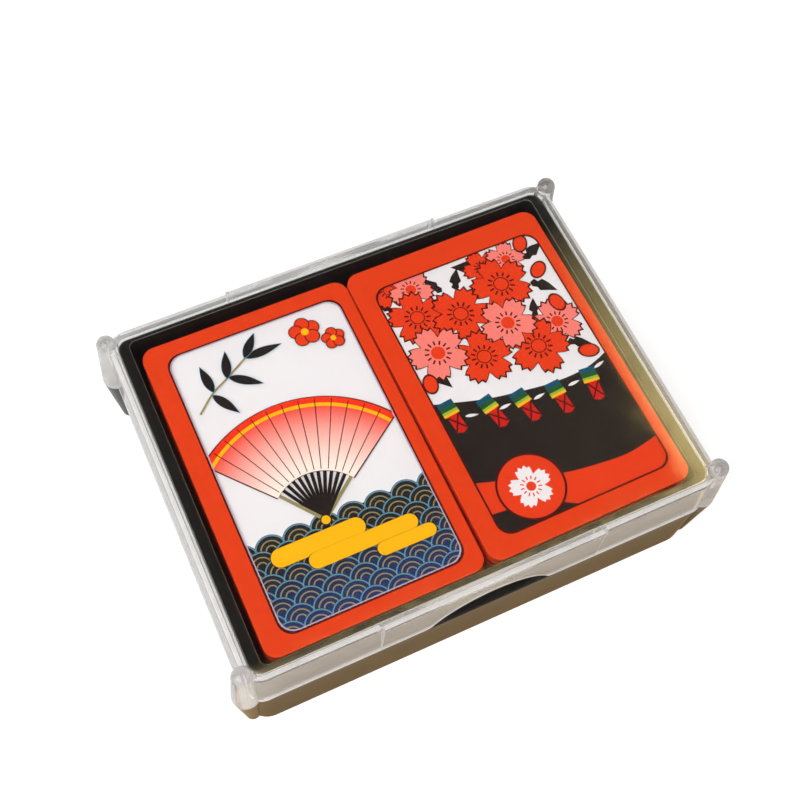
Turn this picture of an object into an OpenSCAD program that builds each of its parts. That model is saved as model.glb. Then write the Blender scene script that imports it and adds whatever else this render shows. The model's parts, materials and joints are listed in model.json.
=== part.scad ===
// Hanafuda card deck in its case: a glossy black tray holds two stacks of plastic
// cards side by side, and a clear lid with four corner posts goes over the tray's
// rim and rests on its ledge. The origin is the middle of the tray's underside,
// +X runs along the long side, +Y to the back and +Z up. Sizes are in millimetres.

/* [Cards] */
// Width of a card
card_w = 35; // [28:0.5:60]
// Length of a card
card_l = 54; // [44:0.5:92]
// Thickness of a card
card_t = 0.83; // [0.6:0.01:1.2]
// Radius of a card's corners
card_r = 2.2; // [1:0.1:4]
// Space between the two stacks
stack_gap = 0.5; // [0.4:0.1:4]
// How far both stacks have slid to the right of the middle
stack_slide = 0.25; // [0:0.05:0.3]
// Angle at which the right stack lies, anticlockwise seen from above
right_turn = 0.6; // [0:0.1:0.7]
// Most that a loose card lies aside of its stack
scatter_x = 0.05; // [0:0.01:0.06]
// Most that a loose card lies behind its stack
scatter_y = 0.3; // [0:0.05:0.8]
// Most that a loose card is turned against its stack, in degrees
scatter_turn = 0.08; // [0:0.01:0.1]

/* [Tray] */
// Space beside the stacks, on the left and on the right
side_gap = 0.75; // [0.7:0.05:3]
// Space between the stacks and the front wall of the well
front_gap = 0.1; // [0.05:0.05:2]
// Space between the stacks and the back wall of the well
back_gap = 2.3; // [1.2:0.1:6]
// Radius of the well's corners
well_r = 1; // [0.5:0.1:2]
// Thickness of the rim's left and right walls
rim_side_t = 2; // [1.2:0.1:3]
// Thickness of the rim's front and back walls
rim_front_t = 0.9; // [0.8:0.1:2]
// Radius of the rim's corners, outside
rim_r = 2; // [1.2:0.1:3]
// Chamfer round the outside of the rim's top
rim_edge = 0.5; // [0.1:0.1:0.7]
// Height of the rim above the top cards
rim_over = 0.2; // [0:0.1:2]
// Thickness of the floor under the cards
floor_t = 1.35; // [1:0.05:3]
// Height of the ledge that the lid rests on
ledge_h = 13.1; // [8:0.1:15]
// How far the outer wall leans in from the ledge to the underside
tray_draft = 0.3; // [0.2:0.1:1.5]
// Chamfer round the underside
foot_edge = 0.4; // [0.1:0.1:0.8]
// Depth of the recess in the underside
foot_depth = 0.5; // [0.2:0.1:0.7]
// Width of the foot around that recess
foot_w = 3; // [1.5:0.1:8]

/* [Lid] */
// Thickness of the lid's top plate
lid_top_t = 1.1; // [0.8:0.1:2]
// Thickness of the lid's walls at the top
lid_wall = 1.1; // [0.8:0.1:2]
// Play between the lid's walls and the rim
lid_play = 0.2; // [0.1:0.05:0.5]
// Space between the top plate and the rim
lid_headroom = 0.2; // [0.1:0.1:2]
// How far the walls flare out from the top plate to the ledge
lid_draft = 0.4; // [0.1:0.05:0.6]
// Radius of the edge round the top plate
lid_edge = 0.6; // [0.2:0.1:0.8]
// Width of the pad on the front wall and on the back wall
pad_w = 37.4; // [30:0.2:50]
// Width of the thumb notch where it opens at the ledge
notch_w = 22.6; // [16:0.2:26]
// Height of the thumb notch
notch_h = 6.4; // [4.5:0.1:7]
// Radius of the fillet at each foot of the notch
notch_fillet = 1.8; // [0.6:0.1:2.4]

/* [Corner posts] */
// Radius of a post's ball
ball_r = 1.55; // [1:0.05:2]
// Height of the ball's centre above the top plate
ball_rise = 0.3; // [0:0.1:0.8]
// Radius of a post where it meets the ledge
post_r = 2.25; // [1.8:0.05:3]
// Distance of a post's axis from the lid's front or back face
post_inset = 1.8; // [1.2:0.1:4]
// Radius of a tray corner boss at the underside
boss_r = 1.2; // [0.8:0.1:1.6]
// How far a boss's axis lies inside the tray's side at the underside
boss_inset = 0.5; // [0:0.1:1]
// How far a boss's axis lies inside the tray's front or back at the underside
boss_inset_y = 1.9; // [1:0.1:3]

/* [Hidden] */

$fn = 64;
hull_fn = 32;
// A slice of this thickness stands for a section that a hull runs through
slice = 0.01;
// One overrun for every cut
over = 1;

left = -1;
right = 1;
stack_n = 25;
top_card = stack_n - 1;
stack_h = stack_n * card_t;

well_w = 2 * card_w + stack_gap + 2 * side_gap;
well_d = card_l + front_gap + back_gap;
rim_w = well_w + 2 * rim_side_t;
rim_d = well_d + 2 * rim_front_t;
rim_z = floor_t + stack_h + rim_over;

lid_w = rim_w + 2 * (lid_play + lid_wall);
lid_d = rim_d + 2 * (lid_play + lid_wall);
lid_r = rim_r + lid_play + lid_wall;
lid_under = rim_z + lid_headroom;
lid_z = lid_under + lid_top_t;

ledge_w = lid_w + 2 * lid_draft;
ledge_d = lid_d + 2 * lid_draft;
ledge_r = lid_r + lid_draft;
base_w = ledge_w - 2 * tray_draft;
base_d = ledge_d - 2 * tray_draft;
base_r = ledge_r - tray_draft;

post_x = lid_w / 2;
post_y = lid_d / 2 - post_inset;
// The notch is a wide arch that meets the ledge line in two small fillets
notch_arch_r = (pow(notch_w / 2, 2) + pow(notch_h, 2)) / (2 * notch_h) - notch_fillet;
notch_meet_share = notch_arch_r / (notch_arch_r + notch_fillet);
// Places of the slices that round the lid's top edge, as shares of a right angle
edge_shares = [0, 0.33, 0.67, 1];
// Steps in degrees between the sines that scatter the cards
scatter_step = 137;
scatter_phase = 110;

module rounded_rect(w, d, r) {
    square([w - 2 * r, d], center = true);
    square([w, d - 2 * r], center = true);
    for (sx = [left, right], sy = [left, right])
        translate([sx * (w / 2 - r), sy * (d / 2 - r)]) circle(r);
}

module section(w, d, r, z) {
    translate([0, 0, z]) linear_extrude(slice) rounded_rect(w, d, r);
}

module at_corners(x, y) {
    for (sx = [left, right], sy = [left, right])
        translate([sx * x, sy * y, 0]) children();
}

// The tray's outer wall leans in towards the underside, with a chamfered foot
module tray_block() {
    hull() {
        section(base_w - 2 * foot_edge, base_d - 2 * foot_edge, base_r - foot_edge, 0, $fn = hull_fn);
        section(base_w, base_d, base_r, foot_edge, $fn = hull_fn);
        section(ledge_w, ledge_d, ledge_r, ledge_h - slice, $fn = hull_fn);
    }
}

// A boss under each lid post leans in from the post's full width to the foot
module corner_boss() {
    low = [base_w / 2 - boss_inset, base_d / 2 - boss_inset_y, foot_edge];
    rise = [post_x, post_y, ledge_h] - low;
    spread = (post_r - boss_r) / norm(rise);
    intersection() {
        translate(low) rotate([0, acos(rise.z / norm(rise)), atan2(rise.y, rise.x)])
            translate([0, 0, -over])
                cylinder(h = norm(rise) + 2 * over, r1 = boss_r - over * spread, r2 = post_r + over * spread);
        translate([0, 0, foot_edge]) linear_extrude(ledge_h - foot_edge)
            square([2 * ledge_w, 2 * ledge_d], center = true);
    }
}

// The upright rim inside the lid, chamfered round the top
module rim_block() {
    translate([0, 0, ledge_h - foot_edge]) linear_extrude(rim_z - rim_edge - ledge_h + foot_edge)
        rounded_rect(rim_w, rim_d, rim_r);
    hull() {
        section(rim_w, rim_d, rim_r, rim_z - rim_edge - slice, $fn = hull_fn);
        section(rim_w - 2 * rim_edge, rim_d - 2 * rim_edge, rim_r - rim_edge, rim_z - slice, $fn = hull_fn);
    }
}

module tray() {
    color("#1c1a18") difference() {
        union() {
            tray_block();
            rim_block();
            corner_boss();
            mirror([1, 0, 0]) corner_boss();
            rotate(180) corner_boss();
            mirror([0, 1, 0]) corner_boss();
        }
        translate([0, 0, floor_t]) linear_extrude(rim_z) rounded_rect(well_w, well_d, well_r);
        translate([0, 0, -over]) linear_extrude(over + foot_depth)
            rounded_rect(base_w - 2 * foot_w, base_d - 2 * foot_w, base_r);
    }
}

// The lid outside: walls that flare towards the ledge, and a rounded top edge
module lid_block() {
    hull() {
        section(ledge_w, ledge_d, ledge_r, ledge_h, $fn = hull_fn);
        for (s = edge_shares) {
            inset = lid_edge * (1 - cos(90 * s));
            section(lid_w - 2 * inset, lid_d - 2 * inset, lid_r - inset,
                lid_z - lid_edge + (lid_edge - slice) * sin(90 * s), $fn = hull_fn);
        }
    }
}

// The space inside the lid, which the rim fills with a little play
module lid_hollow() {
    hull() {
        section(ledge_w - 2 * lid_wall, ledge_d - 2 * lid_wall, ledge_r - lid_wall,
            ledge_h - slice, $fn = hull_fn);
        section(lid_w - 2 * lid_wall, lid_d - 2 * lid_wall, lid_r - lid_wall,
            lid_under - slice, $fn = hull_fn);
    }
}

// A pad that stands upright on the leaning wall, so it fades out at the ledge
module grip_pad() {
    face = ledge_d / 2;
    back = lid_d / 2 - lid_wall / 2;
    rotate([90, 0, 90]) linear_extrude(pad_w, center = true) {
        polygon([[back, ledge_h], [face, ledge_h], [face, lid_z - lid_edge],
            [face - lid_edge, lid_z - lid_edge], [face - lid_edge, lid_z], [back, lid_z]]);
        translate([face - lid_edge, lid_z - lid_edge]) circle(lid_edge);
    }
}

// Outline of the thumb notch: an arch on two fillets that open to the ledge line
module notch_outline() {
    meet_x = notch_w / 2 * notch_meet_share;
    meet_z = notch_fillet * notch_meet_share + (notch_h - notch_arch_r) * (1 - notch_meet_share);
    intersection() {
        translate([0, notch_h - notch_arch_r]) circle(notch_arch_r);
        translate([-meet_x, -over]) square([2 * meet_x, over + notch_h]);
    }
    for (side = [left, right]) difference() {
        translate([side * (meet_x + notch_w / 2) / 2, (meet_z - over) / 2])
            square([notch_w / 2 - meet_x, meet_z + over], center = true);
        translate([side * notch_w / 2, notch_fillet]) circle(notch_fillet);
    }
}

module thumb_notch() {
    translate([0, -ledge_d / 2 - over, ledge_h]) rotate([90, 0, 0]) mirror([0, 0, 1])
        linear_extrude(over + ledge_d / 2 - rim_d / 2) notch_outline();
}

// A post widens from its ball down to the ledge
module corner_post() {
    translate([0, 0, ledge_h])
        cylinder(h = lid_z + ball_rise - ledge_h, r1 = post_r, r2 = ball_r);
    translate([0, 0, lid_z + ball_rise]) sphere(ball_r);
}

module lid() {
    color("#dfe6e6", 0.35) difference() {
        union() {
            lid_block();
            grip_pad();
            rotate(180) grip_pad();
            at_corners(post_x, post_y) corner_post();
        }
        lid_hollow();
        thumb_notch();
        rotate(180) thumb_notch();
    }
}

// A sine scatters the loose cards, and the top card of a stack lies true
function scatter(place, phase) = place == top_card ? 0 : sin(place * scatter_step + phase);

module card(side, place) {
    base_turn = side == right ? right_turn : 0;
    x = side * (card_w + stack_gap) / 2 + stack_slide + scatter_x * scatter(place, 0);
    y = -well_d / 2 + front_gap + card_l / 2 + card_w / 2 * sin(base_turn + scatter_turn)
        + scatter_y * (1 + scatter(place, scatter_phase)) / 2;
    turn = base_turn + scatter_turn * scatter(place, 2 * scatter_phase);
    color("#ee4a1c")
        translate([x, y, floor_t + place * card_t]) rotate(turn)
            linear_extrude(card_t) rounded_rect(card_w, card_l, card_r);
}

// The left stack, from the floor of the tray up
module card_pine_bright() { card(left, 0); }
module card_pine_ribbon() { card(left, 1); }
module card_pine_plain_1() { card(left, 2); }
module card_pine_plain_2() { card(left, 3); }
module card_plum_bird() { card(left, 4); }
module card_plum_ribbon() { card(left, 5); }
module card_plum_plain_1() { card(left, 6); }
module card_plum_plain_2() { card(left, 7); }
module card_wisteria_bird() { card(left, 8); }
module card_wisteria_ribbon() { card(left, 9); }
module card_wisteria_plain_1() { card(left, 10); }
module card_wisteria_plain_2() { card(left, 11); }
module card_iris_bridge() { card(left, 12); }
module card_iris_ribbon() { card(left, 13); }
module card_iris_plain_1() { card(left, 14); }
module card_iris_plain_2() { card(left, 15); }
module card_peony_butterfly() { card(left, 16); }
module card_peony_ribbon() { card(left, 17); }
module card_peony_plain_1() { card(left, 18); }
module card_peony_plain_2() { card(left, 19); }
module card_clover_boar() { card(left, 20); }
module card_clover_ribbon() { card(left, 21); }
module card_clover_plain_1() { card(left, 22); }
module card_clover_plain_2() { card(left, 23); }
module card_title() { card(left, 24); }

// The right stack, from the floor of the tray up
module card_pampas_bright() { card(right, 0); }
module card_pampas_geese() { card(right, 1); }
module card_pampas_plain_1() { card(right, 2); }
module card_pampas_plain_2() { card(right, 3); }
module card_mum_cup() { card(right, 4); }
module card_mum_ribbon() { card(right, 5); }
module card_mum_plain_1() { card(right, 6); }
module card_mum_plain_2() { card(right, 7); }
module card_maple_deer() { card(right, 8); }
module card_maple_ribbon() { card(right, 9); }
module card_maple_plain_1() { card(right, 10); }
module card_maple_plain_2() { card(right, 11); }
module card_paulownia_bright() { card(right, 12); }
module card_paulownia_plain_1() { card(right, 13); }
module card_paulownia_plain_2() { card(right, 14); }
module card_paulownia_plain_3() { card(right, 15); }
module card_willow_bright() { card(right, 16); }
module card_willow_swallow() { card(right, 17); }
module card_willow_ribbon() { card(right, 18); }
module card_willow_plain() { card(right, 19); }
module card_spare() { card(right, 20); }
module card_cherry_ribbon() { card(right, 21); }
module card_cherry_plain_1() { card(right, 22); }
module card_cherry_plain_2() { card(right, 23); }
module card_cherry_bright() { card(right, 24); }

tray();
lid();
card_pine_bright();
card_pine_ribbon();
card_pine_plain_1();
card_pine_plain_2();
card_plum_bird();
card_plum_ribbon();
card_plum_plain_1();
card_plum_plain_2();
card_cherry_bright();
card_cherry_ribbon();
card_cherry_plain_1();
card_cherry_plain_2();
card_wisteria_bird();
card_wisteria_ribbon();
card_wisteria_plain_1();
card_wisteria_plain_2();
card_iris_bridge();
card_iris_ribbon();
card_iris_plain_1();
card_iris_plain_2();
card_peony_butterfly();
card_peony_ribbon();
card_peony_plain_1();
card_peony_plain_2();
card_clover_boar();
card_clover_ribbon();
card_clover_plain_1();
card_clover_plain_2();
card_pampas_bright();
card_pampas_geese();
card_pampas_plain_1();
card_pampas_plain_2();
card_mum_cup();
card_mum_ribbon();
card_mum_plain_1();
card_mum_plain_2();
card_maple_deer();
card_maple_ribbon();
card_maple_plain_1();
card_maple_plain_2();
card_paulownia_bright();
card_paulownia_plain_1();
card_paulownia_plain_2();
card_paulownia_plain_3();
card_willow_bright();
card_willow_swallow();
card_willow_ribbon();
card_willow_plain();
card_title();
card_spare();
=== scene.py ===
"""Looks of a hanafuda card deck in its clear-lidded case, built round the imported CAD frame."""

import json
import logging
import math
from collections.abc import Callable, Iterable
from dataclasses import dataclass, field
from enum import Enum

import bmesh
import bpy
import numpy as np
from mathutils import Matrix, Vector


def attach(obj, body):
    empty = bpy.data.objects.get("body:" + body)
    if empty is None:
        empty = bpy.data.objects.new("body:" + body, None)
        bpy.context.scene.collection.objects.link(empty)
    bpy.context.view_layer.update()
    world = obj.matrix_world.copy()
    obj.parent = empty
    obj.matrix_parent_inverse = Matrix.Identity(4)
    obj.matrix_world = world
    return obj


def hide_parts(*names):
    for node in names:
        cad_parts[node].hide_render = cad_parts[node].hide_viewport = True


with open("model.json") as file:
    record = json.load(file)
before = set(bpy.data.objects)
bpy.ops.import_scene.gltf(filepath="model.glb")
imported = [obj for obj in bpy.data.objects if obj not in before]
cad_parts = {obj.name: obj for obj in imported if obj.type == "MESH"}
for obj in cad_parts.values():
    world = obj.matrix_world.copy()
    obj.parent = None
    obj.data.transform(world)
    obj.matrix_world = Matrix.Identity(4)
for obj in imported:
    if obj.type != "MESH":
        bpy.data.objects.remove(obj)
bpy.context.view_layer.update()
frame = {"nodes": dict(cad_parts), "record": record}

logging.basicConfig(level=logging.INFO, format="%(message)s")
log = logging.getLogger("card_deck")

MM = 0.001
SHARP_ANGLE = 35
LEVEL_SLACK = 0.01
MERGE_DISTANCE = 0.0002

Colour = tuple[float, float, float]
Triple = tuple[float, float, float]
Range = tuple[float, float]
Panel = tuple[float, float, float, float]
Point = tuple[float, float]
Outline = list[Point]
Socket = bpy.types.NodeSocket


def screen(red: int, green: int, blue: int) -> Colour:
    """Turns a colour as a screen shows it into the light values that shaders use.

    Args:
        red: Red from 0 to 255.
        green: Green from 0 to 255.
        blue: Blue from 0 to 255.

    Returns:
        The same colour as linear light.
    """
    def channel(value: int) -> float:
        """Turns one channel into linear light."""
        share = value / 255
        return share / 12.92 if share <= 0.04045 else ((share + 0.055) / 1.055) ** 2.4

    return channel(red), channel(green), channel(blue)


class Graph:
    """A material's node tree, built one node at a time."""

    NOISE_LOW, NOISE_HIGH = 0.3, 0.7

    def __init__(self, tree: bpy.types.NodeTree) -> None:
        """Empties the tree, of a material or of the world, and starts afresh."""
        self.tree = tree
        self.tree.nodes.clear()

    def add(self, kind: str, inputs: dict | None = None, **settings: object) -> bpy.types.Node:
        """Adds a node, sets it and links it.

        Args:
            kind: Name of the node type without the words ShaderNode.
            inputs: Values or sockets to give to the node's inputs.
            **settings: Values for the node's own properties.

        Returns:
            The new node.
        """
        node = self.tree.nodes.new("ShaderNode" + kind)
        for name, value in settings.items():
            setattr(node, name, value)
        for name, value in (inputs or {}).items():
            if isinstance(value, Socket):
                self.tree.links.new(value, node.inputs[name])
            else:
                node.inputs[name].default_value = value
        return node

    def place(self) -> Socket:
        """Gives the place on the piece, in its own coordinates."""
        return self.add("TexCoord").outputs["Object"]

    def spots(self, scale: float, detail: float = 3) -> Socket:
        """Gives soft random spots that stay on the piece, so many to a metre."""
        inputs = {"Vector": self.place(), "Scale": scale, "Detail": detail}
        return self.add("TexNoise", inputs).outputs["Fac"]

    def stretch(
        self, value: Socket, start: float, stop: float, low: float | Socket = 0, high: float | Socket = 1,
    ) -> Socket:
        """Turns the range from start to stop into the range from low to high."""
        inputs = {"Value": value, "From Min": start, "From Max": stop, "To Min": low, "To Max": high}
        return self.add("MapRange", inputs).outputs["Result"]

    def between(self, share: Socket, low: float, high: float) -> Socket:
        """Stretches spots from the middle of their range to the range from low to high."""
        return self.stretch(share, self.NOISE_LOW, self.NOISE_HIGH, low, high)

    def work_out(self, way: str, one: Socket, other: Socket) -> Socket:
        """Gives what a Math node makes of two strengths."""
        return self.add("Math", {0: one, 1: other}, operation=way).outputs["Value"]

    def scaled(self, colour: Colour, strength: Socket) -> Socket:
        """Gives a colour times a strength."""
        return self.add("VectorMath", {0: colour, "Scale": strength}, operation="SCALE").outputs["Vector"]

    def mixed(self, share: Socket, one: Colour | Socket, other: Colour | Socket) -> Socket:
        """Gives a colour between two others."""
        near, far = ((*end, 1) if isinstance(end, tuple) else end for end in (one, other))
        return self.add("Mix", {"Factor": share, "A": near, "B": far}, data_type="RGBA").outputs["Result"]

    def blended(self, share: Socket | float, one: Socket, other: Socket) -> Socket:
        """Gives a shader between two others."""
        return self.add("MixShader", {0: share, 1: one, 2: other}).outputs["Shader"]

    def bump(self, height: Socket, strength: float, distance: float, under: Socket | None = None) -> Socket:
        """Makes a surface slightly uneven.

        Args:
            height: The pattern of its height, from 0 to 1.
            strength: How strongly it shows.
            distance: What a height of 1 stands for, in metres.
            under: Normal of a bump that this one lies on.

        Returns:
            The socket with its normal.
        """
        inputs = {"Height": height, "Strength": strength, "Distance": distance}
        if under is not None:
            inputs["Normal"] = under
        return self.add("Bump", inputs).outputs["Normal"]

    def surface(self, shader: Socket) -> None:
        """Puts a shader on the material's surface."""
        self.add("OutputMaterial", {"Surface": shader})


@dataclass(frozen=True)
class Finish:
    """A finish that becomes one material."""

    name: str

    def material(self) -> bpy.types.Material:
        """Gives the material, which is made the first time.

        Returns:
            The material with the finish's name.
        """
        found = bpy.data.materials.get(self.name)
        if found is None:
            found = bpy.data.materials.new(self.name)
            found.use_nodes = True
            self.paint(Graph(found.node_tree))
        return found

    def paint(self, graph: Graph) -> None:
        """Builds the nodes in an empty tree."""
        raise NotImplementedError


@dataclass(frozen=True)
class PlainInk(Finish):
    """A printed colour with the slight mottle of offset print under a gloss varnish."""

    colour: Colour
    mottle: float = 0.05
    mottle_spots: float = 2600
    roughness: float = 0.3
    gloss: float = 0.25
    varnish_spots: float = 5200
    varnish_bump: Range = (0.04, 0.00002)

    def paint(self, graph: Graph) -> None:
        """Builds the nodes in an empty tree.

        Args:
            graph: The material's tree.
        """
        shader = graph.add("BsdfPrincipled", {
            "Base Color": self.colour_socket(graph), "Roughness": self.roughness,
            "Specular IOR Level": self.gloss,
            "Normal": graph.bump(graph.spots(self.varnish_spots), *self.varnish_bump),
        })
        graph.surface(shader.outputs["BSDF"])

    def colour_socket(self, graph: Graph) -> Socket:
        """Gives the socket with the ink's colour."""
        strength = graph.between(graph.spots(self.mottle_spots), 1 - self.mottle, 1)
        return graph.scaled(self.colour, strength)


@dataclass(frozen=True)
class GradedInk(PlainInk):
    """A printed colour that turns into another one away from a point, or along the card."""

    far_colour: Colour = (1, 1, 1)
    centre: Point = (0, 0)
    near: float = 0
    far: float = 0.01
    along: bool = False

    def colour_socket(self, graph: Graph) -> Socket:
        """Gives the socket with the graded colour.

        Args:
            graph: The material's tree.

        Returns:
            The socket.
        """
        centre = (*self.centre, 0)
        away = graph.add("VectorMath", {0: graph.place(), 1: centre}, operation="SUBTRACT").outputs["Vector"]
        kept = (0 if self.along else 1, 1, 0)
        flat = graph.add("VectorMath", {0: away, 1: kept}, operation="MULTIPLY").outputs["Vector"]
        if self.along:
            distance = graph.add("SeparateXYZ", {"Vector": flat}).outputs["Y"]
        else:
            distance = graph.add("VectorMath", {0: flat}, operation="LENGTH").outputs["Value"]
        return graph.mixed(graph.stretch(distance, self.near, self.far), self.colour, self.far_colour)


@dataclass(frozen=True)
class CardPlastic(Finish):
    """The dyed plastic that the cards are cut from, faintly grained by the rollers."""

    colour: Colour
    cloud: Range = (0.93, 1)
    cloud_spots: float = 900
    roughness: float = 0.28
    gloss: float = 0.25
    grain_spots: float = 7000
    grain_bump: Range = (0.08, 0.00003)

    def paint(self, graph: Graph) -> None:
        """Builds the nodes in an empty tree.

        Args:
            graph: The material's tree.
        """
        strength = graph.between(graph.spots(self.cloud_spots), *self.cloud)
        shader = graph.add("BsdfPrincipled", {
            "Base Color": graph.scaled(self.colour, strength), "Roughness": self.roughness,
            "Specular IOR Level": self.gloss,
            "Normal": graph.bump(graph.spots(self.grain_spots, 1), *self.grain_bump),
        })
        graph.surface(shader.outputs["BSDF"])


@dataclass(frozen=True)
class BlackPolystyrene(Finish):
    """Black moulded plastic with a polish that handling has dulled in places."""

    colour: Colour
    dull: Range = (0.1, 0.24)
    dull_spots: float = 160
    ripple_spots: float = 120
    ripple_bump: Range = (0.25, 0.0001)
    scratch_stretch: Triple = (1, 18, 6)
    scratch_turn: float = 0.5
    scratch_spots: float = 260
    scratch_bump: Range = (0.12, 0.00003)

    def paint(self, graph: Graph) -> None:
        """Builds the nodes in an empty tree.

        Args:
            graph: The material's tree.
        """
        drawn = graph.add("Mapping", {
            "Vector": graph.place(), "Scale": self.scratch_stretch, "Rotation": (0, 0, self.scratch_turn),
        }).outputs["Vector"]
        scratches = graph.add("TexNoise", {"Vector": drawn, "Scale": self.scratch_spots, "Detail": 6})
        ripple = graph.bump(graph.spots(self.ripple_spots, 1), *self.ripple_bump)
        shader = graph.add("BsdfPrincipled", {
            "Base Color": (*self.colour, 1),
            "Roughness": graph.between(graph.spots(self.dull_spots, 5), *self.dull),
            "Normal": graph.bump(scratches.outputs["Fac"], *self.scratch_bump, ripple),
        })
        graph.surface(shader.outputs["BSDF"])


@dataclass(frozen=True)
class ClearPolystyrene(Finish):
    """Clear moulded plastic with faint flow ripples and light scuffs, which lets the light in."""

    haze: float = 0.0
    edge_haze: float = 0.0
    edge_blend: float = 0.35
    shade: float = 0.94
    # Colour of the white haze: frosting on walls and mouth, and painted highlight on the lines at the lid's edges
    # and notches.
    haze_and_highlight: Colour = (0.86, 0.85, 0.84)
    refraction: float = 1.58
    rub: Range = (0.0, 0.07)
    rub_spots: float = 210
    ripple_spots: float = 70
    ripple_bump: Range = (0.2, 0.00003)
    streaks: Range = (0.9, 1.1)
    streak_spots: float = 330

    def paint(self, graph: Graph) -> None:
        """Builds the nodes in an empty tree.

        Args:
            graph: The material's tree.
        """
        glass = graph.add("BsdfPrincipled", {
            "Base Color": (1, 1, 1, 1), "Transmission Weight": 1, "IOR": self.refraction,
            "Roughness": graph.between(graph.spots(self.rub_spots, 6), *self.rub),
            "Normal": graph.bump(graph.spots(self.ripple_spots, 2), *self.ripple_bump),
        }).outputs["BSDF"]
        front = graph.add("BsdfDiffuse", {"Color": (*self.haze_and_highlight, 1)}).outputs["BSDF"]
        through = graph.add("BsdfTranslucent", {"Color": (*self.haze_and_highlight, 1)}).outputs["BSDF"]
        facing = graph.add("LayerWeight", {"Blend": self.edge_blend}).outputs["Facing"]
        share = graph.stretch(facing, 0, 1, self.haze, self.edge_haze)
        streaks = graph.between(graph.spots(self.streak_spots, 6), *self.streaks)
        share = graph.work_out("MULTIPLY", share, streaks)
        body = graph.blended(share, glass, graph.blended(0.5, front, through))
        passing = graph.add("BsdfTransparent", {"Color": (self.shade, self.shade, self.shade, 1)})
        is_shadow = graph.add("LightPath").outputs["Is Shadow Ray"]
        graph.surface(graph.blended(is_shadow, body, passing.outputs["BSDF"]))


class Ink(Enum):
    """The printed colours of the cards."""

    WHITE = PlainInk("ink_white", screen(236, 235, 240), mottle=0.02)
    BLACK = PlainInk("ink_black", screen(34, 27, 26))
    LINE = PlainInk("ink_line", screen(74, 12, 10))
    RED = PlainInk("ink_red", screen(229, 60, 22))
    DEEP_RED = PlainInk("ink_deep_red", screen(205, 30, 24))
    PINK = PlainInk("ink_pink", screen(247, 132, 122))
    BLUE = PlainInk("ink_blue", screen(16, 78, 108))
    GREEN = PlainInk("ink_green", screen(34, 84, 44))
    LIME = PlainInk("ink_lime", screen(150, 186, 62))
    YELLOW = PlainInk("ink_yellow", screen(252, 186, 10))
    KHAKI = PlainInk("ink_khaki", screen(152, 142, 98))
    SKY = PlainInk("ink_sky", screen(98, 150, 172))
    LILAC = PlainInk("ink_lilac", screen(196, 178, 196))


CARD_PLASTIC = CardPlastic("card_plastic", screen(226, 63, 20))
TRAY_PLASTIC = BlackPolystyrene("tray_polystyrene", screen(24, 22, 21))
# A lighter grey on the rim's top edges at the back and sides: painted highlight standing for the light those
# edges catch.
TRAY_EDGE_HIGHLIGHT = BlackPolystyrene("tray_edge_highlight_polystyrene", screen(94, 92, 87), dull=(0.2, 0.36))
LID_PLATE = ClearPolystyrene("lid_polystyrene", haze=0.0, edge_haze=0.012)
LID_WALL = ClearPolystyrene("lid_wall_polystyrene", haze=0.06, edge_haze=0.3)
LID_POST = ClearPolystyrene("lid_post_polystyrene", haze=0.0, edge_haze=0.07)
LID_RIM = ClearPolystyrene("lid_rim_polystyrene", haze=0.85, edge_haze=0.85)
# Haze for the pads' rounded ends, and for a band on the inner side walls just under the plate, where it is a
# painted highlight.
LID_SEAM_AND_GLEAM = ClearPolystyrene("lid_seam_and_gleam_polystyrene", haze=0.55, edge_haze=0.7)
# White haze on the lid's outer top-edge rounding and on the band above its mouth: painted highlight lines.
LID_HIGHLIGHT_LINE = ClearPolystyrene("lid_highlight_line_polystyrene", haze=0.85, edge_haze=0.92, haze_and_highlight=(0.98, 0.97, 0.97))
# Less haze on the front mouth between the posts than on the rest of the mouth: painted shade that keeps the front
# wall dark.
LID_FRONT_SHADE = ClearPolystyrene("lid_front_shade_polystyrene", haze=0.16, edge_haze=0.16)
LID_INNER = ClearPolystyrene("lid_inner_polystyrene", haze=0.0, edge_haze=0.05)


def alone(piece: bpy.types.Object) -> None:
    """Selects one piece and nothing else, and makes it the active one.

    Args:
        piece: The piece.
    """
    bpy.ops.object.select_all(action="DESELECT")
    piece.select_set(True)
    bpy.context.view_layer.objects.active = piece


def pick(piece: bpy.types.Object, kind: str, test: Callable[[object], bool]) -> None:
    """Enters edit mode and selects the parts of a mesh that pass a test.

    Args:
        piece: The mesh object.
        kind: VERT, EDGE or FACE.
        test: Says of a vertex, edge or face whether it is wanted.
    """
    alone(piece)
    bpy.ops.object.mode_set(mode="EDIT")
    bpy.ops.mesh.select_mode(type=kind)
    bpy.ops.mesh.select_all(action="DESELECT")
    mesh = bmesh.from_edit_mesh(piece.data)
    parts = {"VERT": mesh.verts, "EDGE": mesh.edges, "FACE": mesh.faces}[kind]
    for part in [part for part in parts if test(part)]:
        part.select_set(True)
    mesh.select_flush_mode()
    bmesh.update_edit_mesh(piece.data)


def done() -> None:
    """Leaves edit mode."""
    bpy.ops.object.mode_set(mode="OBJECT")


def block(name: str, size: Triple, low: float) -> bpy.types.Object:
    """Adds a box that stands centred on a height.

    Args:
        name: Name of the piece.
        size: Width, depth and height in millimetres.
        low: Height of its lower face.

    Returns:
        The box, still in millimetres.
    """
    bpy.ops.object.select_all(action="DESELECT")
    bpy.ops.mesh.primitive_cube_add(size=1, location=(0, 0, low + size[2] / 2), scale=size)
    piece = bpy.context.object
    piece.name = name
    bpy.ops.object.transform_apply(location=True, rotation=True, scale=True)
    return piece


def spread(factor_x: float, factor_y: float, height: float) -> None:
    """Scales the selection about the upright axis at a height, in edit mode."""
    bpy.ops.transform.resize(value=(factor_x, factor_y, 1), center_override=(0, 0, height))


def upright(edge: bmesh.types.BMEdge) -> bool:
    """Says whether an edge runs mostly upwards."""
    run = edge.verts[1].co - edge.verts[0].co
    return abs(run.z) > 0.8 * run.length


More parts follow.
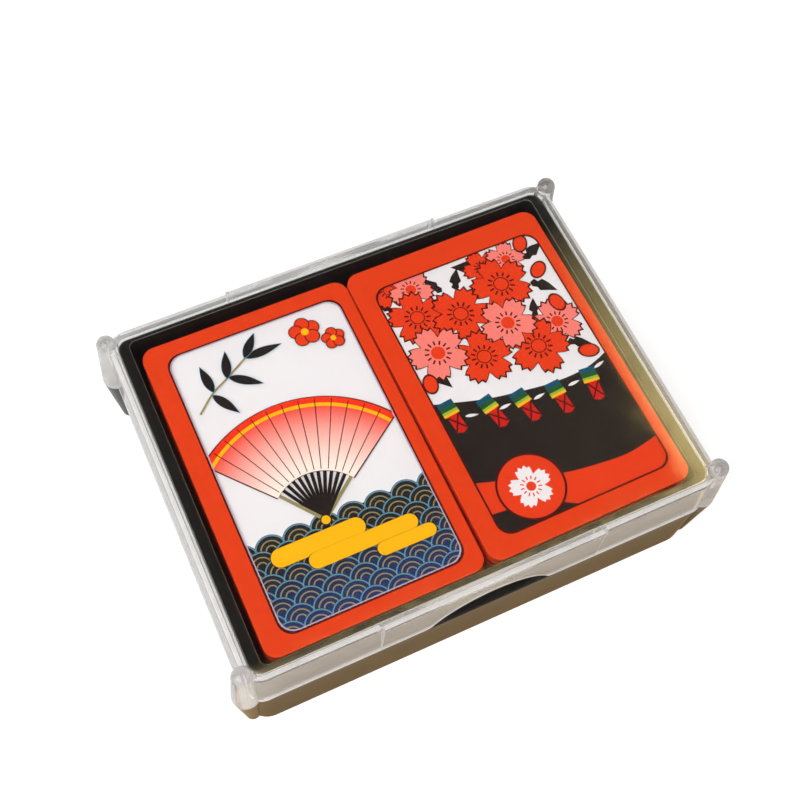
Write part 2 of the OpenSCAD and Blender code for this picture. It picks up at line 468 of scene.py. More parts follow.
def level(part: object, height: float) -> bool:
    """Says whether all of an edge or face lies at a height."""
    return all(abs(corner.co.z - height) < LEVEL_SLACK for corner in part.verts)


def combine(piece: bpy.types.Object, tool: bpy.types.Object, way: str) -> None:
    """Cuts or joins a tool into a piece and throws the tool away.

    Args:
        piece: The mesh that stays.
        tool: The mesh that is used up.
        way: UNION or DIFFERENCE.
    """
    alone(piece)
    step = piece.modifiers.new("combine", "BOOLEAN")
    step.operation = way
    step.solver = "EXACT"
    step.object = tool
    bpy.ops.object.modifier_apply(modifier=step.name)
    bpy.data.objects.remove(tool)


def round_edges(piece: bpy.types.Object, test: Callable[[object], bool], width: float, steps: int) -> None:
    """Rounds the edges of a piece that pass a test.

    Args:
        piece: The mesh, in millimetres.
        test: Says of an edge whether it is wanted.
        width: Width of the rounding.
        steps: Segments of the rounding.
    """
    pick(piece, "EDGE", test)
    bpy.ops.mesh.bevel(offset=width, segments=steps, affect="EDGES")
    done()


def soften(piece: bpy.types.Object, width: float, steps: int) -> None:
    """Rounds all the sharp edges of a piece and smooths its shading.

    Args:
        piece: The mesh, in millimetres.
        width: Width of the rounding.
        steps: Segments of the rounding.
    """
    alone(piece)
    bevel = piece.modifiers.new("soften", "BEVEL")
    bevel.width = width
    bevel.segments = steps
    bevel.limit_method = "ANGLE"
    bevel.angle_limit = math.radians(SHARP_ANGLE)
    bpy.ops.object.modifier_apply(modifier=bevel.name)
    polish(piece)


def polish(piece: bpy.types.Object, angle: float = SHARP_ANGLE) -> None:
    """Smooths the shading across blunt edges while large faces stay flat.

    Args:
        piece: The mesh.
        angle: Least angle in degrees at which an edge stays sharp.
    """
    alone(piece)
    bpy.ops.object.shade_smooth_by_angle(angle=math.radians(angle))
    weigh = piece.modifiers.new("weigh", "WEIGHTED_NORMAL")
    weigh.keep_sharp = True
    bpy.ops.object.modifier_apply(modifier=weigh.name)


def dress(piece: bpy.types.Object, *finishes: Finish) -> None:
    """Gives a piece its finishes, one material slot to each.

    Args:
        piece: The mesh.
        *finishes: Its finishes, in the order of the slots.
    """
    piece.data.materials.clear()
    for finish in finishes:
        piece.data.materials.append(finish.material())


def plate(name: str, outlines: list[Outline], thickness: float) -> bpy.types.Object:
    """Builds a flat plate from outlines.

    Args:
        name: Name of the piece.
        outlines: Closed outlines. One inside another is a hole.
        thickness: Thickness of the plate, half of it above the ground plane.

    Returns:
        The plate, in millimetres.
    """
    bpy.ops.object.select_all(action="DESELECT")
    bpy.ops.curve.primitive_bezier_circle_add(location=(0, 0, 0))
    curve = bpy.context.object.data
    curve.splines.clear()
    curve.dimensions = "2D"
    curve.fill_mode = "BOTH"
    curve.extrude = thickness / 2
    for outline in outlines:
        spline = curve.splines.new("POLY")
        spline.points.add(len(outline) - 1)
        for point, (x, y) in zip(spline.points, outline):
            point.co = (x, y, 0, 1)
        spline.use_cyclic_u = True
    alone(bpy.context.object)
    bpy.ops.object.convert(target="MESH")
    piece = bpy.context.object
    piece.name = name
    pick(piece, "VERT", lambda corner: True)
    bpy.ops.mesh.remove_doubles(threshold=MERGE_DISTANCE)
    bpy.ops.mesh.normals_make_consistent(inside=False)
    done()
    return piece


def settle(piece: bpy.types.Object, body: str, slot: str, *stands_for: str) -> bpy.types.Object:
    """Turns a finished piece from millimetres to metres and lets it ride on its body.

    Args:
        piece: The mesh object at the origin.
        body: The CAD body that carries it.
        slot: The record's material slot. Not used.
        *stands_for: CAD nodes that it replaces.

    Returns:
        The same piece.
    """
    piece.data.transform(Matrix.Scale(MM, 4))
    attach(piece, body)
    if stands_for:
        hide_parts(*stands_for)
    log.info("%s: %d faces on %s", piece.name, len(piece.data.polygons), body)
    return piece


def arc(centre: Point, radius: float, start: float, stop: float, steps: int) -> Outline:
    """Gives points along an arc.

    Args:
        centre: The arc's centre.
        radius: Its radius.
        start: First angle in degrees.
        stop: Last angle in degrees.
        steps: Number of chords.

    Returns:
        The points from the first angle to the last.
    """
    angles = [math.radians(start + (stop - start) * i / steps) for i in range(steps + 1)]
    return [(centre[0] + radius * math.cos(a), centre[1] + radius * math.sin(a)) for a in angles]


def disc(centre: Point, radius: float, steps: int = 40) -> Outline:
    """Gives the outline of a disc."""
    return arc(centre, radius, 0, 360 * (steps - 1) / steps, steps - 1)


def rounded(left: float, right: float, low: float, high: float, radius: float) -> Outline:
    """Gives the outline of a rectangle with round corners.

    Args:
        left: Lowest x.
        right: Highest x.
        low: Lowest y.
        high: Highest y.
        radius: Radius of the corners.

    Returns:
        The outline, anticlockwise.
    """
    corners = [(right, high, 0), (left, high, 90), (left, low, 180), (right, low, 270)]
    points: Outline = []
    for x, y, turn in corners:
        inner_x = x - math.copysign(radius, x - (left + right) / 2)
        inner_y = y - math.copysign(radius, y - (low + high) / 2)
        points += arc((inner_x, inner_y), radius, turn, turn + 90, 8)
    return points


def turned(points: Iterable[Point], centre: Point, angle: float) -> Outline:
    """Turns and then moves an outline.

    Args:
        points: The outline about the origin.
        centre: Where its origin goes.
        angle: Turn in degrees, anticlockwise.

    Returns:
        The new outline.
    """
    c, s = math.cos(math.radians(angle)), math.sin(math.radians(angle))
    return [(centre[0] + x * c - y * s, centre[1] + x * s + y * c) for x, y in points]


def spoke(centre: Point, angle: float, start: float, stop: float) -> Outline:
    """Gives the two ends of a line that points away from a centre."""
    return [arc(centre, reach, angle, angle, 1)[0] for reach in (start, stop)]


def ribbon(points: Outline, width: float) -> Outline:
    """Gives the outline of a line with a width.

    Args:
        points: The line.
        width: Its width.

    Returns:
        One side and then the other side, backwards.
    """
    line = [Vector(p) for p in points]
    sides = []
    for i, here in enumerate(line):
        run = (line[min(i + 1, len(line) - 1)] - line[max(i - 1, 0)]).normalized()
        sides.append((here, Vector((-run.y, run.x)) * width / 2))
    return [tuple(p + n) for p, n in sides] + [tuple(p - n) for p, n in reversed(sides)]


def smooth(points: Outline, steps: int = 6) -> Outline:
    """Gives a round curve through a few points.

    Args:
        points: The points that the curve passes.
        steps: Chords between two points.

    Returns:
        The points along the curve.
    """
    last = len(points) - 1
    curve: Outline = []
    for i in range(last):
        a, b, c, d = (Vector(points[min(max(i + k, 0), last)]) for k in (-1, 0, 1, 2))
        for j in range(steps):
            t = j / steps
            p = b + 0.5 * t * (c - a + t * (2 * a - 5 * b + 4 * c - d + t * (3 * (b - c) + d - a)))
            curve.append(tuple(p))
    curve.append(tuple(points[-1]))
    return curve


def leaf(length: float, width: float) -> Outline:
    """Gives a leaf that points along x from the origin."""
    top = [(length * i / 10, width / 2 * math.sin(math.pi * (i / 10) ** 0.8)) for i in range(11)]
    return top + [(x, -y) for x, y in reversed(top[1:-1])]


@dataclass
class Blossom:
    """A flower of five petals with toothed tips, seen from the front."""

    petals: int = 5
    valley: float = 0.6
    teeth: tuple[Point, ...] = (
        (-28, 0.8), (-22, 0.96), (-15, 0.89), (-8, 1.04), (0, 0.9),
        (8, 1.04), (15, 0.89), (22, 0.96), (28, 0.8),
    )
    stamens: int = 13
    stamen_start: float = 0.31
    stamen_stop: float = 0.47
    stamen_half: float = 0.03

    def outline(self, radius: float) -> Outline:
        """Gives the outline of all the petals.

        Args:
            radius: Radius over the tips.

        Returns:
            The outline about the origin.
        """
        points: Outline = []
        step = 360 / self.petals
        for k in range(self.petals):
            for angle, share in ((-step / 2, self.valley), *self.teeth):
                a = math.radians(k * step + angle)
                points.append((radius * share * math.cos(a), radius * share * math.sin(a)))
        return points

    def dashes(self, radius: float) -> list[Outline]:
        """Gives the ring of short strokes round the flower's middle.

        Args:
            radius: Radius of the flower.

        Returns:
            The outline of each stroke.
        """
        half = radius * self.stamen_half
        start, stop = radius * self.stamen_start, radius * self.stamen_stop
        stroke = [(start, -half), (stop, -half), (stop, half), (start, half)]
        return [turned(stroke, (0, 0), 360 * k / self.stamens) for k in range(self.stamens)]


class Print:
    """The printed face of one card, laid down ink by ink in thin layers."""

    LAYER = 0.0015
    LINE_RISE = 0.002
    TRIM_SLACK = 0.001
    TRIM_MERGE = 0.00005

    def __init__(self, name: str, low: float, panel: Outline) -> None:
        """Starts a print with a white ground.

        Args:
            name: Name of the card's node.
            low: Height of the print's underside in millimetres.
            panel: Outline of the picture, anticlockwise and without hollows.
        """
        self.name = name
        self.height = low
        self.panel = panel
        self.sheets: list[bpy.types.Object] = []
        self.ink([panel], Ink.WHITE.value)

    def ink(self, outlines: list[Outline], finish: Finish) -> None:
        """Lays down one ink on top of all the others, cut to the picture.

        Args:
            outlines: Closed outlines in the card's own millimetres. One inside another is a hole.
            finish: The ink.
        """
        sheet = plate("ink", outlines, self.LAYER)
        self.trim(sheet)
        sheet.data.transform(Matrix.Translation((0, 0, self.height + self.LAYER / 2)))
        dress(sheet, finish)
        self.height += self.LAYER
        self.sheets.append(sheet)

    def trim(self, sheet: bpy.types.Object) -> None:
        """Cuts off what lies outside the picture.

        Args:
            sheet: The layer of ink.
        """
        for here, there in zip(self.panel, self.panel[1:] + self.panel[:1]):
            run = Vector(there) - Vector(here)
            if run.length < self.TRIM_SLACK:
                continue
            outward = Vector((run.y, -run.x, 0)).normalized()
            corner = Vector((*here, 0))
            if all((vertex.co - corner).dot(outward) < self.TRIM_SLACK for vertex in sheet.data.vertices):
                continue
            pick(sheet, "VERT", lambda vertex: True)
            bpy.ops.mesh.bisect(
                plane_co=corner, plane_no=outward, use_fill=True, clear_outer=True, threshold=self.TRIM_MERGE)
            done()

    def outlined(self, outline: Outline, finish: Finish, line: Finish, width: float) -> None:
        """Lays down a shape on a darker line that shows round it.

        Args:
            outline: The shape.
            finish: Its ink.
            line: The ink of the line.
            width: How far the line stands out.
        """
        centre = Vector((sum(x for x, _ in outline), sum(y for _, y in outline))) / len(outline)
        reach = max((Vector(p) - centre).length for p in outline)
        bigger = [tuple(centre + (Vector(p) - centre) * (1 + width / reach)) for p in outline]
        self.ink([bigger], line)
        self.ink([outline], finish)

    def border_line(self, top: float, inner: float, outer: float, finish: Finish) -> None:
        """Lays the thin line that covers the picture's edge.

        Args:
            top: Height of the card's face.
            inner: How far the line reaches into the picture.
            outer: How far it reaches out of it.
            finish: Its ink.
        """
        centre = Vector((sum(x for x, _ in self.panel), sum(y for _, y in self.panel))) / len(self.panel)
        half = Vector(max(self.panel, key=lambda p: p[0] + p[1])) - centre
        edges = []
        for offset in (outer, -inner):
            scale = Vector(((half.x + offset) / half.x, (half.y + offset) / half.y))
            edges.append([(centre.x + (x - centre.x) * scale.x, centre.y + (y - centre.y) * scale.y)
                          for x, y in self.panel])
        sheet = plate("line", edges, self.LAYER)
        rise = top + self.LINE_RISE + self.LAYER * len(self.sheets) / 1000
        sheet.data.transform(Matrix.Translation((0, 0, rise)))
        dress(sheet, finish)
        self.sheets.append(sheet)

    def finished(self, matrix: Matrix) -> bpy.types.Object:
        """Joins all layers into one piece and places it on its card.

        Args:
            matrix: The card's place and turn, in millimetres.

        Returns:
            The piece, still in millimetres.
        """
        bpy.ops.object.select_all(action="DESELECT")
        for sheet in self.sheets:
            sheet.select_set(True)
        bpy.context.view_layer.objects.active = self.sheets[0]
        bpy.ops.object.join()
        piece = bpy.context.object
        piece.name = self.name + "_print"
        piece.data.transform(matrix)
        return piece


@dataclass
class CardStack:
    """The fifty cards, and the printed faces of those that can come to lie on top."""

    width: float = 35
    length: float = 54
    thickness: float = 0.83
    air: float = 0.004
    corner: float = 2.2
    corner_steps: int = 10
    edge: float = 0.12
    edge_steps: int = 3
    plain_panel: Panel = (-14.9, 14.9, -24.3, 24.3)
    title_panel: Panel = (-14.2, 15.2, -24.6, 24.2)
    cherry_panel: Panel = (-14.2, 15.5, -23.9, 22.7)
    panel_corner: float = 2.4
    panel_line: Range = (0.1, 0.16)
    title_line: Range = (0.32, -0.16)
    ink_room: float = 0.14
    blossom: Blossom = field(default_factory=Blossom)

    def build(self) -> None:
        """Builds every card and dresses it."""
        faces = {
            "card_title": (self.title_panel, self.title_face),
            "card_cherry_bright": (self.cherry_panel, self.cherry_bright_face),
            "card_cherry_plain_2": (self.plain_panel, self.cherry_plain_face),
            "card_clover_plain_2": (self.plain_panel, self.clover_face),
            "card_wisteria_plain_2": (self.plain_panel, self.wisteria_face),
            "card_maple_plain_2": (self.plain_panel, self.maple_face),
        }
        model = self.blank("card_blank")
        for node, body in self.nodes():
            piece = model.copy()
            piece.data = piece.data.copy()
            bpy.context.scene.collection.objects.link(piece)
            piece.name = node + "_blank"
            matrix = self.place(node)
            if node in faces:
                sheet = self.printed(piece, node, *faces[node])
                settle(sheet.finished(matrix), body, "card_red")
            dress(piece, CARD_PLASTIC)
            piece.data.transform(matrix)
            settle(piece, body, "card_red", node)
        bpy.data.objects.remove(model)

    def printed(
        self, piece: bpy.types.Object, node: str, sides: Panel, draw: Callable[[Print], None],
    ) -> Print:
        """Recesses a card's face and prints the picture in the recess.

        Args:
            piece: The card, on the origin.
            node: Name of its node.
            sides: Left, right, lower and upper side of the picture.
            draw: Prints the picture.

        Returns:
            The print.
        """
        panel = rounded(*sides, self.panel_corner)
        recess = plate("recess", [panel], 2 * self.ink_room)
        recess.data.transform(Matrix.Translation((0, 0, self.thickness)))
        combine(piece, recess, "DIFFERENCE")
        polish(piece)
        sheet = Print(node, self.thickness - self.ink_room + Print.LAYER, panel)
        draw(sheet)
        if node == "card_title":
            sheet.border_line(sheet.height, *self.title_line, Ink.LILAC.value)
        sheet.border_line(self.thickness, *self.panel_line, Ink.LINE.value)
        log.info("%s: ink up to %.3f of %.3f", node, sheet.height, self.thickness)
        return sheet

    def nodes(self) -> list[tuple[str, str]]:
        """Lists each card's node with the body that holds it."""
        bodies = frame["record"]["behaviour"]["bodies"]
        return [(node, body) for body, nodes in bodies.items() for node in nodes if node.startswith("card_")]

    def place(self, node: str) -> Matrix:
        """Reads a card's place and turn from its node.

        Args:
            node: Name of the CAD node.

        Returns:
            The matrix in millimetres that takes a card from the origin to its place.
        """
        points = np.array([corner.co for corner in frame["nodes"][node].data.vertices]) / MM
        low, high = points.min(0), points.max(0)
        flat = points[:, :2] - (low + high)[:2] / 2
        spread_x, spread_y = (flat[:, 0] ** 2).mean(), (flat[:, 1] ** 2).mean()
        shared = (flat[:, 0] * flat[:, 1]).mean()
        turn = -0.5 * math.atan2(2 * shared, spread_y - spread_x)
        middle = (low + high) / 2
        return Matrix.Translation((middle[0], middle[1], low[2])) @ Matrix.Rotation(turn, 4, "Z")

    def blank(self, name: str) -> bpy.types.Object:
        """Builds a card with round corners and broken edges, on the origin.

        Args:
            name: Name of the piece.

        Returns:
            The card, in millimetres.
        """
        piece = block(name, (self.width, self.length, self.thickness - self.air), self.air)
        round_edges(piece, upright, self.corner, self.corner_steps)
        soften(piece, self.edge, self.edge_steps)
        return piece

    def blossoms(self, sheet: Print, places: list[tuple[float, float, float, float, Finish]]) -> None:
        """Prints blossoms one over another.

        Args:
            sheet: The print.
            places: For each blossom its x, y, radius, turn and ink.
        """
        for x, y, radius, turn, finish in places:
            self.blossom_at(sheet, (x, y), radius, turn, finish)

    def blossom_at(self, sheet: Print, centre: Point, radius: float, turn: float, finish: Finish) -> None:
        """Prints one blossom with its outline and stamens.

        Args:
            sheet: The print.
            centre: Its middle.
            radius: Radius over its tips.
            turn: Turn in degrees.
            finish: Ink of its petals.
        """
        shape = turned(self.blossom.outline(radius), centre, turn)
        sheet.outlined(shape, finish, Ink.LINE.value, 0.4)
        if finish is Ink.PINK.value:
            sheet.ink([disc(centre, radius * 0.25, 20)], Ink.RED.value)
        else:
            sheet.ink([disc(centre, radius * 0.27, 20), disc(centre, radius * 0.235, 20)], Ink.LINE.value)
        sheet.ink([turned(stroke, centre, turn) for stroke in self.blossom.dashes(radius)], Ink.LINE.value)

    def cherry_bright_face(self, sheet: Print) -> None:
        """Prints cherry blossoms over a festive curtain.

        Args:
            sheet: The print.
        """
        self.curtain(sheet, *self.cherry_panel[:3])
        for x, y, length, turn in (
            (12.0, 18.3, 4.6, 25), (10.6, 14.0, 4.8, -42), (8.4, 7.8, 3.6, 70), (10.9, 1.6, 4.0, -28),
            (4.8, 20.2, 5.4, 162), (-3.6, 18.2, 4.2, 118), (-1.4, 17.6, 4.2, 62), (-12.6, 18.0, 3.2, 120),
            (-11.8, 5.2, 4.0, -62),
        ):
            sheet.ink([turned(self.jagged_leaf(length), (x, y), turn)], Ink.BLACK.value)
        red, pink = Ink.RED.value, Ink.PINK.value
        self.blossoms(sheet, [
            (-11.6, 22.0, 3.4, 10, red), (-8.2, 20.6, 3.6, 40, pink), (4.6, 19.6, 3.2, 30, red),
            (9.0, 19.6, 3.2, 0, pink), (11.2, 5.6, 4.0, 20, pink),
            (-9.5, 15.4, 4.6, 12, red), (-2.7, 13.2, 4.8, 50, red), (6.0, 15.6, 4.9, 26, red),
            (-2.8, 4.6, 4.6, 8, red), (-9.3, 8.2, 4.7, 30, pink), (6.2, 2.8, 4.9, 60, red),
            (3.6, 8.6, 4.5, 44, pink),
        ])
        round_bud = [(1.5 * math.cos(a), 1.05 * math.sin(a)) for a in np.linspace(0, 2 * math.pi, 22)[:-1]]
        for x, y, turn in (
            (12.6, 21.4, 60), (13.0, 15.6, 40), (12.9, 8.8, 100), (13.3, -1.2, 160), (-12.9, 3.6, 80),
        ):
            sheet.outlined(turned(round_bud, (x, y), turn), Ink.RED.value, Ink.LINE.value, 0.34)
        self.roundel(sheet, (-6.5, -18.3), 5.2)

    def jagged_leaf(self, length: float) -> Outline:
        """Gives a young leaf with a notched base, which points along x."""
        shape = [(0, 0), (0.1, 0.18), (0.26, 0.13), (0.36, 0.27), (0.62, 0.2), (1, 0),
                 (0.66, -0.11), (0.42, -0.2), (0.3, -0.1), (0.12, -0.13)]
        return [(x * length, y * length) for x, y in shape]

    def curtain(self, sheet: Print, left: float, right: float, low: float) -> None:
        """Prints the curtain with its tassels, and the ground below it.

        Args:
            sheet: The print.
            left: Left side of the picture.
            right: Right side of the picture.
            low: Lower side of the picture.
        """
        top = smooth([
            (left - 1, 0.6), (-12.1, -0.4), (-6.1, -2.2), (-0.7, -3.2), (5.4, -4.0), (11.5, -3.8),
            (right + 1, -2.2),
        ])
        hem = smooth([
            (right + 1, -18.6), (10.5, -19.6), (5.2, -19.3), (-0.7, -18.4), (-7, -16.6), (left - 1, -14),
        ])
        ground = [(left - 1, -10), (right + 1, -10), (right + 1, low - 1), (left - 1, low - 1)]
        sheet.ink([ground], Ink.RED.value)
        sheet.ink([top + hem], Ink.BLACK.value)
        bank = smooth([(left - 1, -19.8), (-9, -20.6), (-4, -22.2), (0, low - 0.6)])
        sheet.ink([bank + [(left - 1, low - 1)]], Ink.BLACK.value)
        ties = [(-12.3, -0.9, 6), (-6.3, -2.7, 12), (-1.0, -3.8, 10), (4.9, -4.7, 4), (11.2, -4.7, -6)]
        bands = (
            (0.0, 0.85, Ink.BLUE), (0.85, 1.7, Ink.GREEN), (1.7, 2.15, Ink.LIME), (2.15, 2.6, Ink.YELLOW),
        )
        for start, stop, finish in bands:
            strip = [(-1.35, 0.9 - start), (-1.35, 0.9 - stop), (1.35, 0.9 - stop), (1.35, 0.9 - start)]
            sheet.ink([turned(strip, (x, y), turn) for x, y, turn in ties], finish.value)
        pendant = [(-0.95, -1.7), (-0.95, -4.7), (0, -5.1), (0.95, -4.7), (0.95, -1.7)]
        sheet.ink([turned(pendant, (x, y), turn) for x, y, turn in ties], Ink.DEEP_RED.value)
        for cross in (ribbon([(-0.9, -1.9), (0.9, -4.5)], 0.28), ribbon([(0.9, -1.9), (-0.9, -4.5)], 0.28)):
            sheet.ink([turned(cross, (x, y), turn) for x, y, turn in ties], Ink.LINE.value)
        dashes = [(-9.3, -3.6, -14), (-3.8, -4.7, 4), (2.0, -5.4, 8), (8.2, -5.5, 4), (13.6, -4.4, 14)]
        dash = leaf(2.2, 0.55)
        sheet.ink([turned(dash, (x - 1.1, y), turn) for x, y, turn in dashes], Ink.WHITE.value)

    def roundel(self, sheet: Print, centre: Point, radius: float) -> None:
        """Prints a round badge with a white blossom.

        Args:
            sheet: The print.
            centre: Its middle.
            radius: Its radius.
        """
        sheet.outlined(disc(centre, radius, 56), Ink.RED.value, Ink.LINE.value, 0.34)
        sheet.ink([turned(self.blossom.outline(radius * 0.66), centre, 18)], Ink.WHITE.value)
        sheet.ink([disc(centre, radius * 0.15, 20)], Ink.RED.value)
        sheet.ink([turned(stroke, centre, 9) for stroke in self.blossom.dashes(radius * 0.7)], Ink.RED.value)

    def cherry_plain_face(self, sheet: Print) -> None:
        """Prints a bough of cherry blossoms.

        Args:
            sheet: The print.
        """
        bough = smooth([(-15.5, -8), (-8, -4), (0, -7), (8, -2), (15.5, -5)])
        sheet.ink([ribbon(bough, 1.3)], Ink.BLACK.value)
        for x, y, turn in (
            (-6, 9, 70), (2, 10, 110), (-9, -12, 250), (3, -14, 280), (10, 7, 40), (11, -11, 310),
        ):
            sheet.ink([turned(self.jagged_leaf(5), (x, y), turn)], Ink.BLACK.value)
        red, pink = Ink.RED.value, Ink.PINK.value
        self.blossoms(sheet, [
            (-9, 3, 5.2, 10, pink), (8, 2, 5.2, 30, pink), (-1, 5, 5.4, 50, red), (-6, -7, 5.2, 20, red),
            (3, -6, 5.2, 0, pink), (10, -5, 4.8, 44, red), (-11, -14, 3.6, 12, red), (4, 14, 3.6, 36, pink),
        ])

    def clover_face(self, sheet: Print) -> None:
        """Prints three bending stems of bush clover.

        Args:
            sheet: The print.
        """
        for x, bend in ((-9, -3.5), (0, 2.5), (8, 5.5)):
            stem = smooth([(x, -25), (x + bend * 0.2, -12), (x + bend * 0.6, 2), (x + bend * 1.5, 15)])
            sheet.ink([ribbon(stem, 0.5)], Ink.BLACK.value)
            for k in range(1, 8):
                at = stem[min(len(stem) - 1, k * len(stem) // 8)]
                side = 1 if k % 2 else -1
                for turn in (90 - side * 20, 90 - side * 70, 90 - side * 120):
                    sheet.ink([turned(leaf(3.3, 1.9), at, turn)], Ink.BLACK.value)
                bud = disc((at[0] - side * 1.9, at[1] + 0.8), 0.75, 16)
                sheet.outlined(bud, Ink.RED.value, Ink.LINE.value, 0.16)

    def wisteria_face(self, sheet: Print) -> None:
        """Prints hanging clusters of wisteria.

        Args:
            sheet: The print.
        """
        bough = smooth([(-15.5, 21), (-5, 19), (6, 21.5), (15.5, 18)])
        sheet.ink([ribbon(bough, 1.1)], Ink.RED.value)
        for x, top, count in ((-10.5, 19, 9), (-3.5, 18.5, 14), (4, 20, 11), (11, 18, 15)):
            for k in range(count):
                width = 2.9 * (1 - k / count) + 0.5
                y = top - 2.4 * k - 1.2
                pair = [disc((x - width / 2, y), 1.05, 16), disc((x + width / 2, y), 1.05, 16)]
                sheet.ink(pair if width > 2.2 else [disc((x, y), 1.05, 16)], Ink.BLACK.value)
            sheet.ink([ribbon([(x, top + 1), (x, top - 2.4 * count)], 0.35)], Ink.RED.value)
            for side in (-1, 1):
                sheet.ink([turned(leaf(5, 1.8), (x, top), 90 - side * 62)], Ink.BLACK.value)

    def maple_face(self, sheet: Print) -> None:
        """Prints falling maple leaves.

        Args:
            sheet: The print.
        """
        lobes = ((0, 1), (52, 0.86), (104, 0.6), (-104, 0.6), (-52, 0.86))
        for x, y, size, turn, finish in (
            (-7, 15, 6.5, 70, Ink.RED), (6.5, 16.5, 5.5, 120, Ink.YELLOW), (0, 4.5, 6.8, 95, Ink.RED),
            (9, 2, 5, 60, Ink.BLACK), (-9.5, -1, 5, 110, Ink.YELLOW), (-5, -12, 6.5, 80, Ink.RED),
            (6.5, -10, 6, 100, Ink.RED), (0, -19.5, 4.6, 70, Ink.BLACK), (11, -19, 4, 120, Ink.YELLOW),
        ):
            stalk = [(-size * 0.55, -0.15), (0, -0.15), (0, 0.15), (-size * 0.55, 0.15)]
            sheet.ink([turned(stalk, (x, y), turn)], Ink.LINE.value)
            for angle, share in lobes:
                blade = turned(leaf(size * share, size * 0.34), (x, y), turn + angle)
                sheet.outlined(blade, finish.value, Ink.LINE.value, 0.18)

    def title_face(self, sheet: Print) -> None:
        """Prints an open fan over waves and bands of mist.

        Args:
            sheet: The print.
        """
        self.waves(sheet, *self.title_panel[:3])
        self.fan(sheet, (-1.6, -10.6))
        self.mist(sheet)
        self.sprig(sheet)

    def waves(self, sheet: Print, left: float, right: float, low: float) -> None:
        """Prints rows of round wave scales, each row over the one behind it.

        Args:
            sheet: The print.
            left: Left side of the picture.
            right: Right side of the picture.
            low: Lower side of the picture.
        """
        pitch = 4.4
        radius = pitch / 2 * 1.16
        deep = GradedInk(
            "ink_wave", screen(40, 54, 104), far_colour=screen(34, 30, 34),
            centre=(0, -0.0255), near=0.0, far=0.0105, along=True,
        )
        for row in range(8):
            y = -11.8 - row * 1.9
            shift = pitch / 2 * (row % 2)
            centres = [(left - 1 + shift + pitch * k, y) for k in range(8 - row % 2)]
            if row == 0:
                crest = smooth([(left - 1, y + 1.2), (-4, y + 0.4), (6, y + 1.6), (right + 1, y + 0.8)])
                sheet.ink([[(left - 1, y), *crest, (right + 1, low - 1), (left - 1, low - 1)]], deep)
            for first in (0, 1):
                sheet.ink([disc(c, radius, 28) for c in centres[first::2]], deep)
            for share, finish in ((0.97, Ink.SKY), (0.66, Ink.KHAKI), (0.35, Ink.KHAKI)):
                for first in (0, 1):
                    rings = [disc(c, radius * share - gap, 28) for c in centres[first::2] for gap in (0, 0.2)]
                    sheet.ink(rings, finish.value)

    def fan(self, sheet: Print, pivot: Point) -> None:
        """Prints the open fan.

        Args:
            sheet: The print.
            pivot: Where its sticks meet.
        """
        first, last, folds = 38, 128, 12
        inner, outer = 8.0, 20.5
        graded = GradedInk(
            "ink_fan", screen(252, 236, 226), far_colour=screen(240, 52, 24),
            centre=(-0.0175 + pivot[0] * MM, -0.000926 + pivot[1] * MM), near=0.009, far=0.0195,
        )
        for k in range(folds + 1):
            stick = ribbon(spoke(pivot, first + (last - first) * k / folds, 0, inner + 1), 0.55)
            sheet.ink([stick], Ink.BLACK.value if 0 < k < folds else Ink.KHAKI.value)
        start, stop = first - 3, last + 3
        rim = arc(pivot, outer, start, stop, 36)
        heel = arc(pivot, inner, stop, start, 24)
        sheet.outlined(rim + heel, graded, Ink.LINE.value, 0.3)
        band = arc(pivot, outer - 1.0, start, stop, 36) + arc(pivot, outer - 1.6, stop, start, 36)
        sheet.ink([band], Ink.YELLOW.value)
        folded = [first + (last - first) * (k + 0.5) / folds for k in range(folds)]
        creases = [ribbon(spoke(pivot, angle, inner + 0.3, outer - 0.3), 0.14) for angle in folded]
        sheet.ink(creases, Ink.LINE.value)
        sheet.outlined(disc(pivot, 0.7, 20), Ink.YELLOW.value, Ink.BLACK.value, 0.2)

    def mist(self, sheet: Print) -> None:
        """Prints bands of mist with round ends.

        Args:
            sheet: The print.
        """
        for x, y, length, width in (
            (-11.5, -13.4, 15, 3.0), (-6.5, -15.9, 17.5, 2.6), (3.5, -18.2, 9.5, 2.2),
        ):
            band = rounded(x, x + length, y - width / 2, y + width / 2, width / 2 - 0.01)
            sheet.outlined(band, Ink.YELLOW.value, Ink.BLACK.value, 0.16)

    def sprig(self, sheet: Print) -> None:
        """Prints a sprig of bamboo leaves and small plum blossoms.

        Args:
            sheet: The print.
        """
        stem = smooth([(-12.5, 13.0), (-9.5, 15.6), (-6.2, 17.4), (-2.4, 19.6)])
        sheet.ink([ribbon(stem, 0.34)], Ink.KHAKI.value)
        for x, y, length, turn in (
            (-9.6, 15.4, 5.2, -58), (-9.2, 15.8, 5.0, 96), (-6.2, 17.4, 5.6, -34), (-6.4, 17.2, 4.8, 74),
            (-2.5, 19.5, 6.2, 2), (-2.6, 19.6, 4.6, 50),
        ):
            shape = turned(leaf(length, 1.5), (x, y), turn)
            sheet.outlined(shape, Ink.BLACK.value, Ink.SKY.value, 0.18)
        for x, y, radius in ((8.0, 20.2, 2.3), (11.8, 17.4, 1.7)):
            for a in np.linspace(0.3, 0.3 + 2 * math.pi, 6)[:-1]:
                middle = (x + radius * 0.62 * math.cos(a), y + radius * 0.62 * math.sin(a))
                sheet.outlined(disc(middle, radius * 0.48, 20), Ink.RED.value, Ink.LINE.value, 0.16)
            sheet.ink([disc((x, y), radius * 0.28, 18)], Ink.YELLOW.value)


